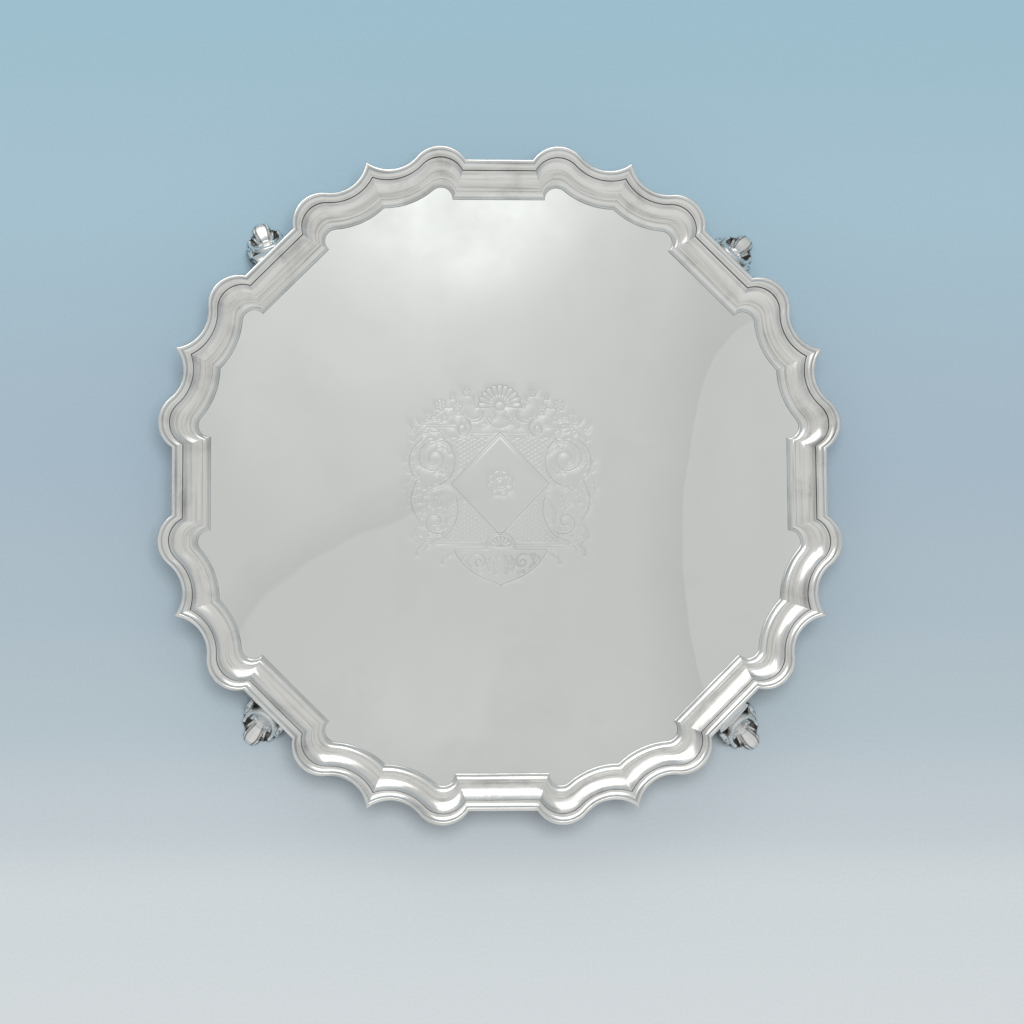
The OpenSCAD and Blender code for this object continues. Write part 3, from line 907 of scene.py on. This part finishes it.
foot = {
    # millimetres. "In" is measured from the toe's tip towards the salver's centre.
    "toeReach": 1.05,       # share of the radius over the points
    "kneeIn": 21.0,         # a foot is turned about this point over its knee
    # as they were soldered on: [name, side it stands under, degrees turned, knee moved out, knee moved along]
    "places": [("back_right", 45, 0, 0, 0), ("back_left", 135, -25, 0, -1), ("front_left", 225, 8, -4, -2),
               ("front_right", 315, 0, 0, 0)],
    "front": [  # [in, height] down the middle of the front
        (0.0, 0.7), (0.35, 1.6), (1.6, 2.6), (4.0, 3.6), (6.5, 4.5), (8.8, 5.7), (10.0, 7.2), (11.2, 9.4),
        (12.5, 12.2), (13.8, 14.8), (15.2, 17.0), (17.2, 19.3), (20.0, 20.9), (26.0, 22.1), (31.0, 23.0),
        (35.2, 23.95), (36.4, 24.0), (42.0, 24.0), (52.0, 24.0)],
    "width": [  # [in, half width] of the outline from above
        (0.0, 1.3), (0.1, 2.0), (0.4, 2.8), (1.0, 3.5), (2.2, 4.05), (4.0, 4.25), (4.5, 5.5), (5.2, 6.1),
        (5.9, 7.3), (6.6, 8.1), (8.0, 8.5), (9.2, 9.5), (10.4, 10.2), (12.2, 10.6), (14.4, 10.3),
        (16.0, 9.6), (18.0, 8.6), (22.0, 7.6), (29.0, 6.9), (37.0, 6.6)],
    "thick": [
        (0.0, 1.0), (1.5, 2.1), (5.0, 2.9), (8.0, 3.6), (10.0, 4.6), (12.0, 5.6), (16.0, 5.6),
        (20.0, 4.4), (26.0, 3.2), (34.0, 2.0), (54.0, 2.0)],
    "padAt": 45.1, "padRadius": 7.9,
    "soleAt": 10.6, "soleRadius": 3.9, "soleEdge": 0.7, "soleBelow": 6.5,
    "legEnd": (42.0, 38.0), "leastWidth": 0.6,
    "columnEvenness": 0.78, "edgePower": 4, "reliefFrom": 0.25, "deepestShare": 0.8,
    "creaseDegrees": 60,
    "fineStep": 0.15, "fineLength": 27.0, "coarseStep": 0.7, "columns": 124, "backColumns": 30,
    "arch": [(14.5, 0.0), (14.3, 2.4), (13.5, 4.6), (12.1, 6.1), (10.4, 6.9), (8.6, 7.3), (6.7, 7.2)],
    "archRadius": 0.95,
    "rib": [(9.7, 3.35), (8.2, 3.85), (6.4, 4.45), (5.0, 4.9)],
    "ribRadius": 0.75,
    "leafWidth": [
        (0.0, 2.0), (0.4, 2.8), (1.2, 3.5), (2.6, 4.0), (4.2, 4.05), (6.5, 3.6), (8.5, 3.0), (10.4, 2.4)],
    "scrollAt": (12.0, 8.9), "scrollSize": (3.1, 1.95),
    "scrollLine": [(14.2, 8.1), (13.0, 7.8), (11.2, 8.0), (10.4, 8.7), (11.0, 9.5), (12.3, 9.6),
                   (12.9, 9.1), (12.3, 8.75)],
}


carving = {
    # the ornament's relief over the foot's plain front, in millimetres, with "in" as above
    "shellEnd": 8.0, "archEnd": 16.5,
    "underArch": (-0.35, 0.9), "web": -1.9, "webFade": (9.3, 8.2),
    "channel": -1.7, "channelFade": (16.5, 14.8), "channelWall": (0.4, 1.4),
    "archBar": (-0.6, 1.3), "ribBar": (-1.4, 1.3),     # foot of a rounded bar, and its rise
    # [depth or rise, share of the leaf's width where it lies, spread]
    "leafRim": (0.22, 0.84, 0.12), "leafLine": (0.34, 0.68, 0.085), "leafRidge": (0.1, 0.0, 0.18),
    "leafCrown": (0.35, 0.5), "leafRoot": (2.4, 9.3, 10.5), "leafEdge": (0.8, 0.9, 0.1), "leafEnd": 10.4,
    "scrollBar": (-0.9, 1.7), "curl": (0.35, 0.27),
    "flutes": (0.28, 2.1), "fluteFrom": (19.0, 22.0), "fluteTo": (33.0, 28.0),
    # the dark along the outer line, near the border's edge, is painted shade
    "innerLine": (0.35, 1.15, 0.36), "innerFrom": 8.8, "outerLine": (0.3, 1.3, 0.34),
    # how the hollows and drawn lines darken: tarnish, with painted shade
    "tarnishShadeFrom": (-0.95, -1.6), "lineTarnishShade": 0.9,
    "paleUnderArch": (9.6, 1.6, 0.25),     # in, from the arch, most darkening there
}


def smoothStep(low, high, value):
    share = np.clip((value - low) / (high - low), 0, 1)
    return share * share * (3 - 2 * share)


def rounded(distance, radius):
    return np.sqrt(np.clip(1 - (distance / radius) ** 2, 0, 1))


def bell(at, middle, spread):
    return np.exp(-((at - middle) / spread) ** 2)


def awayFrom(inward, sideways, knots):
    line = np.array(smoothCurve(knots, 8))
    nearest = np.full(inward.shape, 99.0)
    for x, y in line:
        nearest = np.minimum(nearest, np.hypot(inward - x, sideways - y))
    return nearest


def knotValue(at, knots):
    return np.interp(at, *np.array(knots, dtype=float).T)


def withBar(height, away, radius, base, rise):
    # a rounded bar laid over the relief
    return np.where(away < radius, np.maximum(height, base + rise * rounded(away, radius)), height)


def footRelief(inward, sideways):
    # height of the casting's ornament over its plain front, and how dark its hollows are: tarnish, with
    # painted shade
    side = np.abs(sideways)
    arch = awayFrom(inward, side, foot["arch"])
    archSide = knotValue(inward, foot["arch"][::-1])
    inside = (side < archSide) & (inward < foot["arch"][0][0])
    onShell = inward < carving["shellEnd"]
    beside = ~inside & (inward > carving["shellEnd"]) & (inward < carving["archEnd"])
    # the ground: a hollow under the arch, a deep web between the shell's ribs, a channel round the scroll
    top, fall = carving["underArch"]
    web = carving["web"]
    hollow = top - fall * (1 - np.clip(side / np.maximum(archSide, 0.1), 0, 1) ** 2)
    height = np.where(inside, hollow + (web - hollow) * smoothStep(*carving["webFade"], inward), 0.0)
    fade = smoothStep(*carving["channelFade"], inward) * smoothStep(*carving["channelWall"], arch)
    height = np.where(beside, carving["channel"] * fade, height)
    height = np.where(onShell & ~inside, web, height)
    height = withBar(height, arch, foot["archRadius"], *carving["archBar"])
    rib = awayFrom(inward, side, foot["rib"])
    height = withBar(height, rib, foot["ribRadius"], *carving["ribBar"])
    # the shell's broad leaf, with a raised edge and a line inside it
    reach = side / knotValue(inward, foot["leafWidth"])
    crown, fall = carving["leafCrown"]
    rise, *rim = carving["leafRim"]
    depth, *drawn = carving["leafLine"]
    line = bell(reach, *drawn)
    leaf = crown - fall * reach ** 2 + rise * bell(reach, *rim)
    rise, *ridge = carving["leafRidge"]
    leaf = leaf - depth * line + rise * bell(reach, *ridge)
    fall, *root = carving["leafRoot"]
    drop, edge, width = carving["leafEdge"]
    leaf = leaf - fall * smoothStep(*root, inward) - drop * np.clip((reach - edge) / width, 0, 1) ** 2
    onLeaf = (reach < 1) & (inward < carving["leafEnd"])
    height = np.where(onLeaf, np.maximum(height, leaf), height)
    # the scroll beside the arch, with its line wound into it
    x, y = foot["scrollAt"]
    long, wide = foot["scrollSize"]
    lump = np.hypot((inward - x) / long, (side - y) / wide)
    base, rise = carving["scrollBar"]
    depth, spread = carving["curl"]
    curl = bell(awayFrom(inward, side, foot["scrollLine"]), 0.0, spread) * (lump < 1)
    height = np.where(lump < 1, np.maximum(height, base + rise * rounded(lump, 1) - depth * curl), height)
    # soft flutes over the knee
    rise, spacing = carving["flutes"]
    knee = smoothStep(*carving["fluteFrom"], inward) * smoothStep(*carving["fluteTo"], inward)
    height = height + rise * knee * np.cos(side * spacing)
    innerDepth, *drawn = carving["innerLine"]
    innerLine = bell(arch, *drawn) * inside * (inward > carving["innerFrom"])
    outerDepth, *drawn = carving["outerLine"]
    outerLine = bell(arch, *drawn) * ~inside * (inward > carving["shellEnd"]) * (lump > 1)
    height = height - innerDepth * innerLine - outerDepth * outerLine
    # tarnish with painted shade: the deep hollows and the drawn lines darken
    dark = smoothStep(*carving["tarnishShadeFrom"], height) * (inward < carving["archEnd"])
    # painted shade: the dark along the outer line, near the border's edge
    for mask in (line * onLeaf, outerLine, curl):
        dark = np.maximum(dark, carving["lineTarnishShade"] * mask)
    dark = np.maximum(dark, innerLine)
    start, away, most = carving["paleUnderArch"]
    dark = np.where(inside & (inward > start) & (arch > away), np.minimum(dark, most), dark)
    return height, dark


def footStations():
    line = np.array(smoothCurve(foot["front"], 12))
    run = np.concatenate(([0.0], np.cumsum(np.hypot(*np.diff(line, axis=0).T))))
    fine = np.arange(0.0, foot["fineLength"], foot["fineStep"])
    coarse = np.arange(foot["fineLength"], run[-1], foot["coarseStep"])
    at = np.concatenate((fine, coarse, [run[-1]]))
    inward = np.interp(at, run, line[:, 0])
    height = np.interp(at, run, line[:, 1])
    slopeX = np.gradient(inward, at)
    slopeZ = np.gradient(height, at)
    size = np.hypot(slopeX, slopeZ)
    return inward, height, -slopeZ / size, slopeX / size


def footMesh():
    inward, height, outX, outZ = footStations()
    count = len(inward)
    padHalf = foot["padRadius"] * rounded(inward - foot["padAt"], foot["padRadius"])
    wide = np.maximum(knotValue(inward, foot["width"]) * smoothStep(*foot["legEnd"], inward), padHalf)
    wide = np.maximum(wide, foot["leastWidth"])
    thick = knotValue(inward, foot["thick"])
    columns = foot["columns"]
    step = np.linspace(-1, 1, columns + 1)
    even = foot["columnEvenness"]
    across = even * step + (1 - even) * np.sin(step * quarterTurn)
    backStep = np.linspace(1, -1, foot["backColumns"] + 1)[1:-1]
    side = np.concatenate((across, np.sin(backStep * quarterTurn)))
    isBack = np.concatenate((np.zeros(columns + 1, bool), np.ones(len(backStep), bool)))
    a, u = np.meshgrid(inward, side, indexing="ij")
    w, t = wide[:, None], thick[:, None]
    y = w * u
    relief, dark = footRelief(a.ravel(), y.ravel())
    relief = relief.reshape(a.shape)
    dark = dark.reshape(a.shape)
    power = foot["edgePower"]
    edge = (1 - np.abs(u) ** power) ** (1 / power)
    relief = relief * smoothStep(0.0, foot["reliefFrom"], edge)
    front = np.maximum(relief, -foot["deepestShare"] * t) - 0.5 * t * (1 - edge)
    back = -0.5 * t * (1 + edge)
    off = np.where(isBack[None, :], back, front)
    x = -a - outX[:, None] * off
    z = height[:, None] + outZ[:, None] * off
    # the sole: a round flat where the foot stands
    reach = np.hypot(x + foot["soleAt"], y)
    pressed = smoothStep(foot["soleRadius"] + foot["soleEdge"], foot["soleRadius"], reach)
    pressed = pressed * (z < foot["soleBelow"])
    z = np.where(isBack[None, :], z * (1 - pressed), z)
    z = np.maximum(z, 0.0)
    dark = np.where(isBack[None, :], 0.0, dark)
    ring = len(side)
    toe = foot["toeReach"] * pointsRadius / mm
    points = np.stack(((x + toe) * mm, y * mm, z * mm), axis=-1).reshape(-1, 3)
    faces = []
    for k in range(count - 1):
        for j in range(ring):
            n = (j + 1) % ring
            faces.append((k * ring + j, (k + 1) * ring + j, (k + 1) * ring + n, k * ring + n))
    faces.append(tuple(range(ring)))
    faces.append(tuple((count - 1) * ring + j for j in range(ring - 1, -1, -1)))
    mesh = newMesh("castFoot", points.tolist(), faces)
    markTarnishAndShade(mesh, dark.ravel())
    return mesh


# how the hollows darken: tarnish, with painted shade
cavityTarnishShade = {
    "rounds": 14, "easing": 0.65,      # how far the smoothed copy is drawn towards its neighbours
    "range": (0.05, 0.3),              # millimetres below the smoothed copy
}


def markTarnishAndShade(mesh, drawn):
    # tarnish and painted shade darken where the surface lies below its own smoothed copy, and in the drawn
    # hollows
    count = len(mesh.vertices)
    place, normal = np.empty((2, count * 3))
    mesh.vertices.foreach_get("co", place)
    mesh.vertices.foreach_get("normal", normal)
    place, normal = place.reshape(-1, 3), normal.reshape(-1, 3)
    ends = np.empty(len(mesh.edges) * 2, dtype=np.int64)
    mesh.edges.foreach_get("vertices", ends)
    a, b = ends[0::2], ends[1::2]
    near = np.bincount(a, minlength=count) + np.bincount(b, minlength=count)
    eased = place.copy()
    share = cavityTarnishShade["easing"]
    for _ in range(cavityTarnishShade["rounds"]):
        total = np.zeros_like(eased)
        for axis in range(3):
            total[:, axis] = np.bincount(a, eased[b, axis], count) + np.bincount(b, eased[a, axis], count)
        eased = (1 - share) * eased + share * total / np.maximum(near, 1)[:, None]
    hollow = ((eased - place) * normal).sum(axis=1) / mm
    dark = np.maximum(smoothStep(*cavityTarnishShade["range"], hollow), drawn)
    recess = mesh.attributes.new("recess", "FLOAT", "POINT")
    recess.data.foreach_set("value", dark.astype(np.float32))


def makeFeet():
    mesh = footMesh()
    smoothExceptCreases(mesh, foot["creaseDegrees"])
    knee = Vector((foot["toeReach"] * pointsRadius - foot["kneeIn"] * mm, 0, 0))
    for name, degrees, twist, out, along in foot["places"]:
        piece = addPiece("cast_foot_" + name, mesh, footSilver, ["foot_" + name])
        turned = Matrix.Rotation(math.radians(degrees), 4, "Z")
        twisted = Matrix.Rotation(math.radians(twist), 4, "Z")
        moved = Matrix.Translation(knee + Vector((out, along, 0)) * mm)
        piece.matrix_world = turned @ moved @ twisted @ Matrix.Translation(-knee)
    print("feet made:", len(mesh.polygons), "faces each")


makeFeet()


def paintSolder():
    # the solder keeps its CAD shape and gets a duller, slightly yellow silver
    solder = ["border_solder"] + ["foot_solder_" + place[0] for place in foot["places"]]
    for node in solder:
        bpy.data.objects[node].material_slots[0].material = solderSilver
    print("solder painted:", len(solder), "seams")


paintSolder()

# ---- stage, light and camera

stage = {
    "reach": 3.0, "steps": 24,
    "brightness": 0.44,     # how much of the light the paper gives back, for a tone of 1
    "tones": [              # [distance from the salver's middle in metres, colour]; lighter in front and darker, bluer behind: painted fall-off of the light
        (-0.260, (0.690, 0.730, 0.750)), (-0.190, (0.665, 0.713, 0.737)), (-0.150, (0.560, 0.625, 0.666)),
        (-0.100, (0.479, 0.565, 0.617)), (-0.050, (0.440, 0.535, 0.605)), (0.020, (0.405, 0.512, 0.597)),
        (0.140, (0.390, 0.545, 0.640)), (0.240, (0.350, 0.535, 0.630))],
    "roughness": 0.9, "specular": 0.1,
    "toothScale": 700.0, "toothNoise": (0.3, 0.7), "tooth": 0.05,
}


def makeFloor():
    reach = stage["reach"]
    steps = stage["steps"]
    points = []
    faces = []
    for i in range(steps + 1):
        for k in range(steps + 1):
            points.append((reach * (2 * i / steps - 1), reach * (2 * k / steps - 1), 0))
    for i in range(steps):
        for k in range(steps):
            a = i * (steps + 1) + k
            faces.append((a, a + steps + 1, a + steps + 2, a + 1))
    floor = newObject("floor", newMesh("floor", points, faces))
    material, tree, shader = newMaterial("backdropPaper")
    shader.inputs["Roughness"].default_value = stage["roughness"]
    shader.inputs["Specular IOR Level"].default_value = stage["specular"]
    place = tree.nodes.new("ShaderNodeTexCoord").outputs["Object"]
    # painted light: the paper is lighter in front and darker behind, as the light falls off
    near, far = stage["tones"][0][0], stage["tones"][-1][0]
    blend = rangeNode(tree, splitNode(tree, place)["Y"], near, far)
    ramp = tree.nodes.new("ShaderNodeValToRGB")
    ramp.color_ramp.interpolation = "EASE"
    tree.links.new(blend, ramp.inputs["Fac"])
    while len(ramp.color_ramp.elements) < len(stage["tones"]):
        ramp.color_ramp.elements.new(0.5)
    for stop, (y, tone) in zip(ramp.color_ramp.elements, stage["tones"]):
        stop.position = (y - near) / (far - near)
        stop.color = (*(stage["brightness"] * c for c in tone), 1)
    # a fine tooth, so that the paper is not quite flat
    tooth = noiseNode(tree, place, stage["toothScale"], 3.0, 0.6)
    tooth = rangeNode(tree, tooth, *stage["toothNoise"], 0.0, stage["tooth"])
    paper = mixNode(tree, tooth, ramp.outputs["Color"], (0, 0, 0, 1))
    tree.links.new(paper, shader.inputs["Base Color"])
    floor.data.materials.append(material)


light = {
    "overhead": (0.600, 0.605, 0.600), "front": (0.74, 0.745, 0.74), "low": (0.41, 0.465, 0.505),
    "frontRange": (0.0, -0.7), "lowRange": (0.55, 0.1),     # aims between which one tone turns into the next
    "panelAt": (-0.35, 1.25, 1.35), "panelSize": (1.8, 1.15), "panelPower": 8.5,
    "panelTint": (1.0, 1.0, 0.99),
    # the wash lights the paper from straight above, and isn't mirrored in the silver
    "wash": 4.6, "washSpread": 28,
    # soft patches of the tent: [aim across, aim along, half width across, half width along, gain]
    "patchRange": (1.6, 0.1), "patchRise": (0.0, 0.1),
    "patches": [(0.043, 0.210, 0.040, 0.022, 1.2), (0.024, 0.172, 0.055, 0.036, 0.24),
                (0.185, 0.165, 0.035, 0.06, 0.14), (0.106, -0.02, 0.016, 0.12, -0.10),
                (0.165, 0.0, 0.03, 0.20, 0.09), (-0.12, 0.02, 0.05, 0.10, -0.12),
                (0.05, -0.025, 0.12, 0.035, -0.50), (0.05, 0.058, 0.05, 0.022, 0.14)],
}


def makeLight():
    # an even tent: neutral overhead, lighter towards the front, blue-grey near the table
    world = bpy.data.worlds.new("studio")
    bpy.context.scene.world = world
    world.use_nodes = True
    tree = world.node_tree
    back = tree.nodes["Background"]
    split = splitNode(tree, tree.nodes.new("ShaderNodeTexCoord").outputs["Generated"])
    front = rangeNode(tree, split["Y"], *light["frontRange"])
    low = rangeNode(tree, split["Z"], *light["lowRange"])
    tone = mixNode(tree, front, (*light["overhead"], 1), (*light["front"], 1))
    tone = mixNode(tree, low, tone, (*light["low"], 1))
    tree.links.new(tone, back.inputs["Color"])
    strength = 1.0
    above = rangeNode(tree, split["Z"], *light["patchRise"])
    for *oval, gain in light["patches"]:
        far = ovalReach(tree, split, *oval)
        patch = rangeNode(tree, far, *light["patchRange"], 0.0, gain, "SMOOTHSTEP")
        strength = mathNode(tree, "ADD", mathNode(tree, "MULTIPLY", patch, above), strength)
    tree.links.new(strength, back.inputs["Strength"])
    sun = bpy.data.lights.new("paperWash", "SUN")
    sun.energy = light["wash"]
    sun.angle = math.radians(light["washSpread"])
    newObject("paperWash", sun).visible_glossy = False
    panel = bpy.data.lights.new("skyPanel", "AREA")
    panel.shape = "RECTANGLE"
    panel.size, panel.size_y = light["panelSize"]
    panel.energy = light["panelPower"]
    panel.color = light["panelTint"]
    holder = newObject("skyPanel", panel)
    holder.location = light["panelAt"]
    holder.rotation_euler = (-Vector(light["panelAt"])).to_track_quat("-Z", "Y").to_euler()


view = {
    "sensor": 36, "lens": 123.05,          # millimetres
    "place": (-0.0890, -0.2011, 1.5924),   # from the middle of the rim's top
    "forward": (0.0584, 0.1164, -0.9915), "up": (-0.0008, 0.9932, 0.1166),
}


def makeCamera():
    camera = bpy.data.cameras.new("camera")
    camera.sensor_width = view["sensor"]
    camera.lens = view["lens"]
    holder = newObject("camera", camera)
    x, y, z = view["place"]
    holder.location = (x, y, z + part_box("border_section_1")[1][2])
    forward = Vector(view["forward"]).normalized()
    up = Vector(view["up"]).normalized()
    right = forward.cross(up).normalized()
    up = right.cross(forward)
    holder.rotation_euler = Matrix((right, up, -forward)).transposed().to_euler()
    bpy.context.scene.camera = holder


makeFloor()
makeLight()
makeCamera()
bpy.context.scene.view_settings.view_transform = "Standard"
